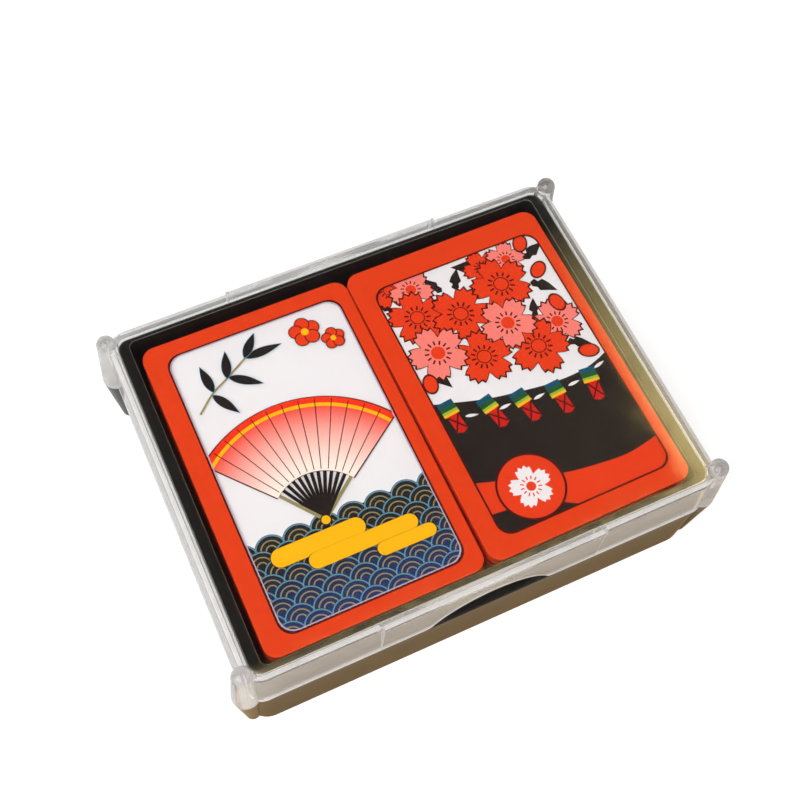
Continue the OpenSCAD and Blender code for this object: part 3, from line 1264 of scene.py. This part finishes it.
@dataclass
class Tray:
    """The black tray."""

    ledge_width: float = 79.4
    ledge_depth: float = 61.6
    ledge_height: float = 13.1
    ledge_corner: float = 3.7
    corner_steps: int = 12
    base_width: float = 78.8
    base_depth: float = 61.0
    edge: float = 0.22
    edge_steps: int = 3
    rim_step: float = 1.7
    rim_top: float = 22.3
    rim_wall: float = 0.9
    rim_edge: float = 0.5
    rim_side_extra: float = 1.1
    highlight_band: float = 0.35
    highlight_slopes: Range = (0.3, 0.95)
    floor: float = 1.35
    foot_width: float = 3.0
    foot_recess: float = 0.5
    boss_top: Point = (39.3, 28.6)
    boss_foot: Point = (38.9, 28.6)
    boss_top_radius: float = 2.25
    boss_foot_radius: float = 1.2
    boss_foot_height: float = 0.4
    boss_sides: int = 40

    def build(self) -> None:
        """Builds the tray and dresses it."""
        piece = block("tray_moulding", (self.ledge_width, self.ledge_depth, self.ledge_height), 0)
        pick(piece, "VERT", lambda corner: corner.co.z < 1)
        spread(self.base_width / self.ledge_width, self.base_depth / self.ledge_depth, 0)
        done()
        round_edges(piece, upright, self.ledge_corner, self.corner_steps)
        self.raise_rim(piece)
        self.sink_well(piece)
        self.recess_underside(piece)
        soften(piece, self.edge, self.edge_steps)
        for sign_x in (-1, 1):
            for sign_y in (-1, 1):
                combine(piece, self.boss(sign_x, sign_y), "UNION")
        polish(piece)
        dress(piece, TRAY_PLASTIC, TRAY_EDGE_HIGHLIGHT)
        # Faces of the rim's back and side top edges take the lighter grey of the painted highlight.
        for face in piece.data.polygons:
            face.material_index = int(self.lit_rim_edge(face))
        settle(piece, "tray", "tray_black", "tray")

    def lit_rim_edge(self, face: bpy.types.MeshPolygon) -> bool:
        """Says whether a face is on the rim's top edges at the back or the sides, which carry the painted
        highlight.

        Args:
            face: A face of the tray.

        Returns:
            Whether handling has rubbed it.
        """
        front = face.center.y < self.rim_step - self.ledge_depth / 2 + self.rim_edge
        least, most = self.highlight_slopes
        return face.center.z > self.rim_top - self.highlight_band and least < face.normal.z < most and not front

    def raise_rim(self, piece: bpy.types.Object) -> None:
        """Draws the rim up from the ledge.

        Args:
            piece: The tray.
        """
        pick(piece, "FACE", lambda face: level(face, self.ledge_height))
        bpy.ops.mesh.inset(thickness=self.rim_step)
        rise = self.rim_top - self.ledge_height
        bpy.ops.mesh.extrude_region_move(TRANSFORM_OT_translate={"value": (0, 0, rise)})
        done()
        round_edges(piece, lambda run: level(run, self.rim_top), self.rim_edge, self.edge_steps)

    def sink_well(self, piece: bpy.types.Object) -> None:
        """Sinks the well for the cards into the rim.

        Args:
            piece: The tray.
        """
        pick(piece, "FACE", lambda face: level(face, self.rim_top))
        bpy.ops.mesh.inset(thickness=self.rim_wall - self.rim_edge)
        inside = self.ledge_width - 2 * (self.rim_step + self.rim_wall)
        spread((inside - 2 * self.rim_side_extra) / inside, 1, self.rim_top)
        bpy.ops.mesh.extrude_region_move(TRANSFORM_OT_translate={"value": (0, 0, self.floor - self.rim_top)})
        done()

    def recess_underside(self, piece: bpy.types.Object) -> None:
        """Recesses the underside within its foot.

        Args:
            piece: The tray.
        """
        pick(piece, "FACE", lambda face: level(face, 0))
        bpy.ops.mesh.inset(thickness=self.foot_width)
        bpy.ops.mesh.extrude_region_move(TRANSFORM_OT_translate={"value": (0, 0, self.foot_recess)})
        done()

    def boss(self, sign_x: int, sign_y: int) -> bpy.types.Object:
        """Builds one corner boss, which leans in and narrows towards the foot.

        Args:
            sign_x: Side of the tray, -1 or 1.
            sign_y: Front or back, -1 or 1.

        Returns:
            The boss, in millimetres.
        """
        foot = Vector((sign_x * self.boss_foot[0], sign_y * self.boss_foot[1], self.boss_foot_height))
        top = Vector((sign_x * self.boss_top[0], sign_y * self.boss_top[1], self.ledge_height))
        bpy.ops.object.select_all(action="DESELECT")
        bpy.ops.mesh.primitive_cone_add(
            vertices=self.boss_sides, radius1=self.boss_foot_radius, radius2=self.boss_top_radius,
            depth=top.z - foot.z, location=(0, 0, (top.z + foot.z) / 2))
        piece = bpy.context.object
        bpy.ops.object.transform_apply(location=True, rotation=True, scale=True)
        pick(piece, "VERT", lambda corner: corner.co.z > self.ledge_height - 0.1)
        bpy.ops.transform.translate(value=(top.x, top.y, 0))
        done()
        pick(piece, "VERT", lambda corner: corner.co.z < 1)
        bpy.ops.transform.translate(value=(foot.x, foot.y, 0))
        done()
        return piece


@dataclass
class Lid:
    """The clear lid. Its solids overrun below the mouth, where one cut levels them all."""

    width: float = 78.6
    depth: float = 60.8
    corner: float = 3.3
    corner_steps: int = 12
    top: float = 23.6
    under: float = 22.5
    mouth: float = 13.12
    mouth_width: float = 79.4
    mouth_depth: float = 61.6
    wall: float = 1.1
    edge: float = 0.8
    edge_steps: int = 5
    hollow_edge: float = 0.3
    shell_overrun: float = 1
    hollow_overrun: float = 2
    cut_depth: float = 4
    sharp_angle: float = 32
    pad_width: float = 37.4
    pad_depth: float = 1.2
    pad_round: float = 0.5
    pad_steps: int = 4
    pad_overrun: float = 0.7
    lip: float = 1.0
    gleam: float = 1.1
    shade_band: float = 1.5
    flat: float = 0.9
    slack: float = 0.05
    notch_width: float = 22.6
    notch_height: float = 6.4
    notch_fillet: float = 1.8
    notch_depth: float = 3
    notch_inset: float = 0.4
    notch_overrun: float = 3
    post_x: float = 39.3
    post_y: float = 28.6
    post_radius: float = 2.25
    post_sides: int = 48
    post_overrun: float = 0.5
    ball_radius: float = 1.55
    ball_rise: float = 0.3
    ball_angles: tuple[float, ...] = (*(7.5 * step for step in range(12)), 88)

    def build(self) -> None:
        """Builds the lid and dresses it."""
        piece = self.shell("lid_moulding", 0, self.top, self.corner, self.edge)
        for side in (-1, 1):
            combine(piece, self.pad(side), "UNION")
        for sign_x in (-1, 1):
            for sign_y in (-1, 1):
                combine(piece, self.post(sign_x, sign_y), "UNION")
        hollow = self.shell("lid_hollow", self.wall, self.under, self.corner - self.wall, self.hollow_edge)
        combine(piece, hollow, "DIFFERENCE")
        for side in (-1, 1):
            combine(piece, self.notch(side), "DIFFERENCE")
        below_size = (2 * self.mouth_width, 2 * self.mouth_depth, self.cut_depth)
        combine(piece, block("lid_below", below_size, self.mouth - self.cut_depth), "DIFFERENCE")
        for height in (self.mouth + self.lip, self.under - self.gleam):
            pick(piece, "VERT", lambda point: True)
            bpy.ops.mesh.bisect(plane_co=(0, 0, height), plane_no=(0, 0, 1), threshold=0.0001)
            done()
        polish(piece, self.sharp_angle)
        finishes = (LID_PLATE, LID_WALL, LID_RIM, LID_POST, LID_SEAM_AND_GLEAM, LID_HIGHLIGHT_LINE, LID_FRONT_SHADE, LID_INNER)
        dress(piece, *finishes)
        for face in piece.data.polygons:
            face.material_index = finishes.index(self.finish_of(face))
        settle(piece, "lid", "lid_clear", "lid")

    def finish_of(self, face: bpy.types.MeshPolygon) -> ClearPolystyrene:
        """Chooses the finish of one face.

        Args:
            face: A face of the lid.

        Returns:
            Its finish.
        """
        spot, normal = face.center, face.normal
        # A notch's edge takes the mouth's frosted haze: painted highlight for its bright edge line.
        if self.on_notch(face):
            return LID_RIM
        if normal.z < -self.flat and spot.z < self.mouth + self.slack:
            # The front mouth between the posts takes less haze: painted shade.
            ahead = spot.y < -self.depth / 2 + self.shade_band
            between_posts = abs(spot.x) < self.post_x - 2 * self.post_radius
            return LID_FRONT_SHADE if ahead and between_posts else LID_RIM
        if self.on_post(spot):
            return LID_POST
        if self.on_seam(face):
            return LID_SEAM_AND_GLEAM
        outward = abs(spot.x) > self.width / 2 - self.edge or abs(spot.y) > self.depth / 2 - self.edge
        on_edge = 0.6 < normal.z < 0.99 and spot.z > self.top - self.edge
        # The outer top-edge rounding and the band above the mouth take the white haze of the painted highlight
        # lines.
        if outward and (on_edge or spot.z < self.mouth + self.lip):
            return LID_HIGHLIGHT_LINE
        # A band on the inner side walls just under the plate takes the seam's haze: painted highlight.
        if normal.x * spot.x < 0 and abs(normal.x) > self.flat and spot.z > self.under - self.gleam:
            return LID_SEAM_AND_GLEAM
        if abs(normal.y) > 0.3 and normal.y * spot.y < 0:
            return LID_INNER
        if abs(normal.z) < self.flat or spot.z > self.top + self.slack:
            return LID_WALL
        return LID_PLATE

    def on_notch(self, face: bpy.types.MeshPolygon) -> bool:
        """Says whether a face is part of a notch's edge.

        Args:
            face: A face of the lid.

        Returns:
            Whether it is.
        """
        spot, normal = face.center, face.normal
        within = abs(spot.x) < self.notch_width / 2 + self.notch_fillet and spot.z < self.under - 1
        return within and normal.z < -0.05 and abs(normal.y) < 0.1

    def on_seam(self, face: bpy.types.MeshPolygon) -> bool:
        """Says whether a face is on the rounded end of a pad."""
        away = abs(face.center.x) - self.pad_width / 2
        return -self.pad_round < away < self.slack and abs(face.normal.x) > 0.15

    def on_post(self, point: Vector) -> bool:
        """Says whether a point lies on a corner post.

        Args:
            point: A point on the lid.

        Returns:
            Whether it is within a post's radius at its height.
        """
        away = math.hypot(abs(point.x) - self.post_x, abs(point.y) - self.post_y)
        share = (point.z - self.mouth) / (self.top + self.ball_rise - self.mouth)
        return away < self.post_radius + (self.ball_radius - self.post_radius) * min(share, 1) + self.slack

    def shell(self, name: str, inset: float, top: float, corner: float, edge: float) -> bpy.types.Object:
        """Builds the block of the lid's outside, or of its hollow.

        Args:
            name: Name of the piece.
            inset: How far its walls lie inside the lid's own.
            top: Height of its top.
            corner: Radius of its upright corners.
            edge: Radius round its top.

        Returns:
            The block, in millimetres.
        """
        low = self.mouth - (self.hollow_overrun if inset else self.shell_overrun)
        flare = (self.mouth_width - self.width) / 2 * (self.top - low) / (self.top - self.mouth)
        width, depth = self.width - 2 * inset, self.depth - 2 * inset
        piece = block(name, (width, depth, top - low), low)
        pick(piece, "VERT", lambda point: point.co.z < low + 1)
        spread((width + 2 * flare) / width, (depth + 2 * flare) / depth, low)
        done()
        round_edges(piece, upright, corner, self.corner_steps)
        round_edges(piece, lambda run: level(run, top), edge, self.edge_steps)
        return piece

    def pad(self, side: int) -> bpy.types.Object:
        """Builds the upright pad on the front or the back wall.

        Args:
            side: Front or back, -1 or 1.

        Returns:
            The pad, in millimetres.
        """
        face = self.mouth_depth / 2
        low = self.mouth - self.pad_overrun
        piece = block("lid_pad", (self.pad_width, self.pad_depth, self.top - low), low)
        pick(piece, "VERT", lambda point: True)
        bpy.ops.transform.translate(value=(0, side * (face - self.pad_depth / 2), 0))
        done()

        def ahead(run: bmesh.types.BMEdge) -> bool:
            """Says whether an edge lies on the pad's outer face."""
            return all(point.co.y * side > face - 0.1 for point in run.verts)

        round_edges(piece, lambda run: upright(run) and ahead(run), self.pad_round, self.pad_steps)
        round_edges(piece, lambda run: level(run, self.top) and ahead(run), self.edge, self.edge_steps)
        return piece

    def post(self, sign_x: int, sign_y: int) -> bpy.types.Object:
        """Builds a corner post and draws its ball up from it, ring by ring.

        Args:
            sign_x: Side of the lid, -1 or 1.
            sign_y: Front or back, -1 or 1.

        Returns:
            The post, in millimetres.
        """
        x, y = sign_x * self.post_x, sign_y * self.post_y
        crown = self.top + self.ball_rise
        height = crown - self.mouth
        sunk = self.post_overrun
        foot_radius = self.post_radius + (self.post_radius - self.ball_radius) * sunk / height
        bpy.ops.object.select_all(action="DESELECT")
        bpy.ops.mesh.primitive_cone_add(
            vertices=self.post_sides, radius1=foot_radius, radius2=self.ball_radius, depth=height + sunk,
            location=(x, y, self.mouth + (height - sunk) / 2))
        piece = bpy.context.object
        bpy.ops.object.transform_apply(location=True, rotation=True, scale=True)
        pick(piece, "FACE", lambda face: level(face, crown))
        rings = [math.radians(angle) for angle in self.ball_angles]
        for here, there in zip(rings, rings[1:]):
            rise = self.ball_radius * (math.sin(there) - math.sin(here))
            factor = math.cos(there) / math.cos(here)
            bpy.ops.mesh.extrude_region_move(TRANSFORM_OT_translate={"value": (0, 0, rise)})
            bpy.ops.transform.resize(value=(factor, factor, 1), center_override=(x, y, crown))
        done()
        return piece

    def notch(self, side: int) -> bpy.types.Object:
        """Builds the cutter of a thumb notch, an arch on two fillets.

        Args:
            side: Front or back, -1 or 1.

        Returns:
            The cutter, in millimetres.
        """
        half, rise, fillet = self.notch_width / 2, self.notch_height, self.notch_fillet
        radius = (half ** 2 + rise ** 2) / (2 * rise) - fillet
        meet = math.degrees(math.asin((radius + fillet - rise) / (radius + fillet)))
        arch = arc((0, rise - radius), radius, meet, 180 - meet, 40)
        near = arc((half, fillet), fillet, 180 + meet, 270, 8)
        far = arc((-half, fillet), fillet, 270, 360 - meet, 8)
        low = -self.notch_overrun
        outline = [(half, low), *reversed(near), *arch, *reversed(far), (-half, low)]
        piece = plate("notch", [outline], self.notch_depth)
        stand = Matrix.Rotation(math.radians(90), 4, "X")
        middle = side * (self.mouth_depth / 2 - self.notch_inset)
        piece.data.transform(Matrix.Translation((0, middle, self.mouth)) @ stand)
        return piece


@dataclass(frozen=True)
class Lamp:
    """A soft square lamp that faces the case, with its place and side in metres and its power in watts."""

    name: str
    place: Triple
    span: float
    power: float
    colour: Colour
    mirrored: bool = True

    def hang(self) -> None:
        """Hangs the lamp, which the plastic mirrors or not."""
        data = bpy.data.lights.new(self.name, "AREA")
        data.size = self.span
        data.energy = self.power
        data.color = self.colour
        lamp = bpy.data.objects.new(self.name, data)
        bpy.context.scene.collection.objects.link(lamp)
        lamp.location = self.place
        lamp.rotation_euler = (-Vector(self.place)).to_track_quat("-Z", "Y").to_euler()
        lamp.visible_glossy = lamp.visible_transmission = self.mirrored


@dataclass
class Studio:
    """The floor, the lamps, the world and the camera.

    The ends of the floor's colours are metres along y, and those of its lift are metres from the middle. The ends
    of the sky's strips are slopes, x or y over z, and those of its gloom are heights on the sky.
    """

    camera_place: Triple = (-44.8, -70.9, 194.7)
    camera_turn: Triple = (26.21, -3.11, -24.91)
    lens: float = 55.1
    sensor: float = 36
    clip_start: float = 0.01
    lamps: tuple[Lamp, ...] = (
        Lamp("key_lamp", (-0.42, -0.30, 0.62), 0.8, 6.1, (1, 0.98, 0.96)),
        Lamp("fill_lamp", (0.55, -0.45, 0.42), 1.0, 1.75, (1, 0.9, 0.78)),
        Lamp("rear_lamp", (-0.45, 0.70, 0.30), 0.6, 4.0, (0.97, 0.99, 1), mirrored=False),
    )
    floor_span: float = 6.0
    paper: Colour = (0.8, 0.8, 0.8)
    # Floor colours seen only in reflections and through the plastic, a painted reflection of a warm table, darker
    # right by the case as painted shade.
    table_shade: Colour = (0.56, 0.39, 0.2)
    table_ahead: Colour = (0.92, 0.78, 0.6)
    table_through: Colour = (0.74, 0.64, 0.53)
    table_ends: Range = (-0.0288, -0.0296)
    ahead_ends: Range = (-0.0334, -0.0342)
    lift_ends: Range = (0.12, 0.6)
    lift: Range = (0.5, 1)
    lift_through: Range = (0.2, 0.88)
    gloom_ends: Range = (0.3, 0.75)
    horizon: Range = (1.0, 0.9)
    overhead: float = 0.03
    soft_light: float = 0.26
    amber: Colour = (4.0, 3.1, 1.2)
    right_strip: Range = (0.456, 0.468)
    right_far: Range = (0.54, 0.3)
    front_strip: Range = (0.249, 0.247)
    front_near: Range = (0.24, 0.243)
    front_side: Range = (-0.4, 1.1)
    strip_height: Range = (0.7, 0.8)
    strip_side: Range = (0.62, 0.56)

    def build(self) -> None:
        """Sets the stage."""
        self.lay_floor()
        self.light_world()
        for lamp in self.lamps:
            lamp.hang()
        self.set_camera()
        bpy.context.scene.view_settings.view_transform = "Standard"

    def lay_floor(self) -> None:
        """Lays the floor, white to the camera and warm where the plastic mirrors it, a painted reflection that is
        darker right by the case as painted shade.
        """
        bpy.ops.object.select_all(action="DESELECT")
        bpy.ops.mesh.primitive_plane_add(size=self.floor_span, location=(0, 0, 0))
        floor = bpy.context.object
        floor.name = "floor"
        material = bpy.data.materials.new("floor_paper")
        material.use_nodes = True
        graph = Graph(material.node_tree)
        path = graph.add("LightPath").outputs
        through = path["Is Transmission Ray"]
        place = graph.place()
        forward = graph.add("SeparateXYZ", {"Vector": place}).outputs["Y"]
        near_front = graph.stretch(forward, *self.table_ends)
        indirect = graph.work_out("MAXIMUM", path["Is Glossy Ray"], through)
        warm = graph.work_out("MULTIPLY", indirect, near_front)
        # Darker warm colour right by the case, beige farther ahead: painted shade in the reflection.
        mirrored = graph.mixed(graph.stretch(forward, *self.ahead_ends), self.table_shade, self.table_ahead)
        tint = graph.mixed(warm, self.paper, graph.mixed(through, mirrored, self.table_through))
        paper = graph.add("BsdfDiffuse", {"Color": tint})
        distance = graph.add("VectorMath", {0: place}, operation="LENGTH").outputs["Value"]
        near, far = (graph.stretch(through, 0, 1, *ends) for ends in zip(self.lift, self.lift_through))
        lift = graph.add("Emission", {"Strength": graph.stretch(distance, *self.lift_ends, near, far)})
        cool = graph.work_out("SUBTRACT", through, near_front)
        seen = graph.work_out("MAXIMUM", path["Is Camera Ray"], cool)
        dark = graph.add("Emission", {"Color": (0, 0, 0, 1), "Strength": 0})
        extra = graph.blended(seen, dark.outputs["Emission"], lift.outputs["Emission"])
        graph.surface(graph.add("AddShader", {0: paper.outputs["BSDF"], 1: extra}).outputs["Shader"])
        floor.data.materials.append(material)

    def light_world(self) -> None:
        """Lights the world, bright at the horizon and darker overhead for the gloss."""
        world = bpy.context.scene.world or bpy.data.worlds.new("studio")
        bpy.context.scene.world = world
        world.use_nodes = True
        graph = Graph(world.node_tree)
        parts = graph.add("SeparateXYZ", {"Vector": graph.add("TexCoord").outputs["Generated"]}).outputs
        path = graph.add("LightPath").outputs
        horizon = graph.stretch(path["Is Transmission Ray"], 0, 1, *self.horizon)
        gloom = graph.scaled((1, 1, 1), graph.stretch(parts["Z"], *self.gloom_ends, horizon, self.overhead))
        amber = graph.scaled(self.amber, self.strip_lights(graph, parts))
        total = graph.add("VectorMath", {0: amber, 1: gloom}, operation="ADD").outputs["Vector"]
        mirrored, soft, backdrop = (
            graph.add("Background", {"Color": colour, "Strength": strength}).outputs["Background"]
            for colour, strength in ((total, 1), ((1, 1, 1, 1), self.soft_light), ((1, 1, 1, 1), 1))
        )
        sharp = graph.work_out("MAXIMUM", path["Is Glossy Ray"], path["Is Transmission Ray"])
        whole = graph.blended(path["Is Camera Ray"], graph.blended(sharp, soft, mirrored), backdrop)
        graph.add("OutputWorld", {"Surface": whole})

    def strip_lights(self, graph: Graph, parts: bpy.types.NodeOutputs) -> Socket:
        """Gives two warm strips overhead, which gleam along the case's right and front edges.

        Args:
            graph: The world's tree.
            parts: X, Y and Z of where a ray looks.

        Returns:
            The socket with the strips' strength.
        """
        height = parts["Z"]
        slope_x, slope_y = (graph.work_out("DIVIDE", parts[axis], height) for axis in "XY")
        fade = graph.stretch

        def product(total: Socket, *others: Socket) -> Socket:
            """Multiplies strengths.

            Args:
                total: The first one.
                *others: The others.

            Returns:
                Their product.
            """
            for other in others:
                total = graph.work_out("MULTIPLY", total, other)
            return total

        right = product(fade(slope_x, *self.right_strip), fade(slope_y, *self.right_far))
        front = product(
            fade(slope_y, *self.front_strip), fade(slope_y, *self.front_near),
            fade(slope_x, *self.front_side),
        )
        strips = graph.work_out("MAXIMUM", right, front)
        return product(strips, fade(height, *self.strip_height), fade(slope_x, *self.strip_side))

    def set_camera(self) -> None:
        """Sets the camera at the photograph's place, which its perspective gave."""
        data = bpy.data.cameras.new("camera")
        data.lens = self.lens
        data.sensor_width = self.sensor
        data.clip_start = self.clip_start
        camera = bpy.data.objects.new("camera", data)
        bpy.context.scene.collection.objects.link(camera)
        camera.location = Vector(self.camera_place) * MM
        camera.rotation_euler = [math.radians(angle) for angle in self.camera_turn]
        bpy.context.scene.camera = camera


def main() -> None:
    """Builds everything in order."""
    Tray().build()
    CardStack().build()
    Lid().build()
    Studio().build()


if __name__ == "__main__":
    main()
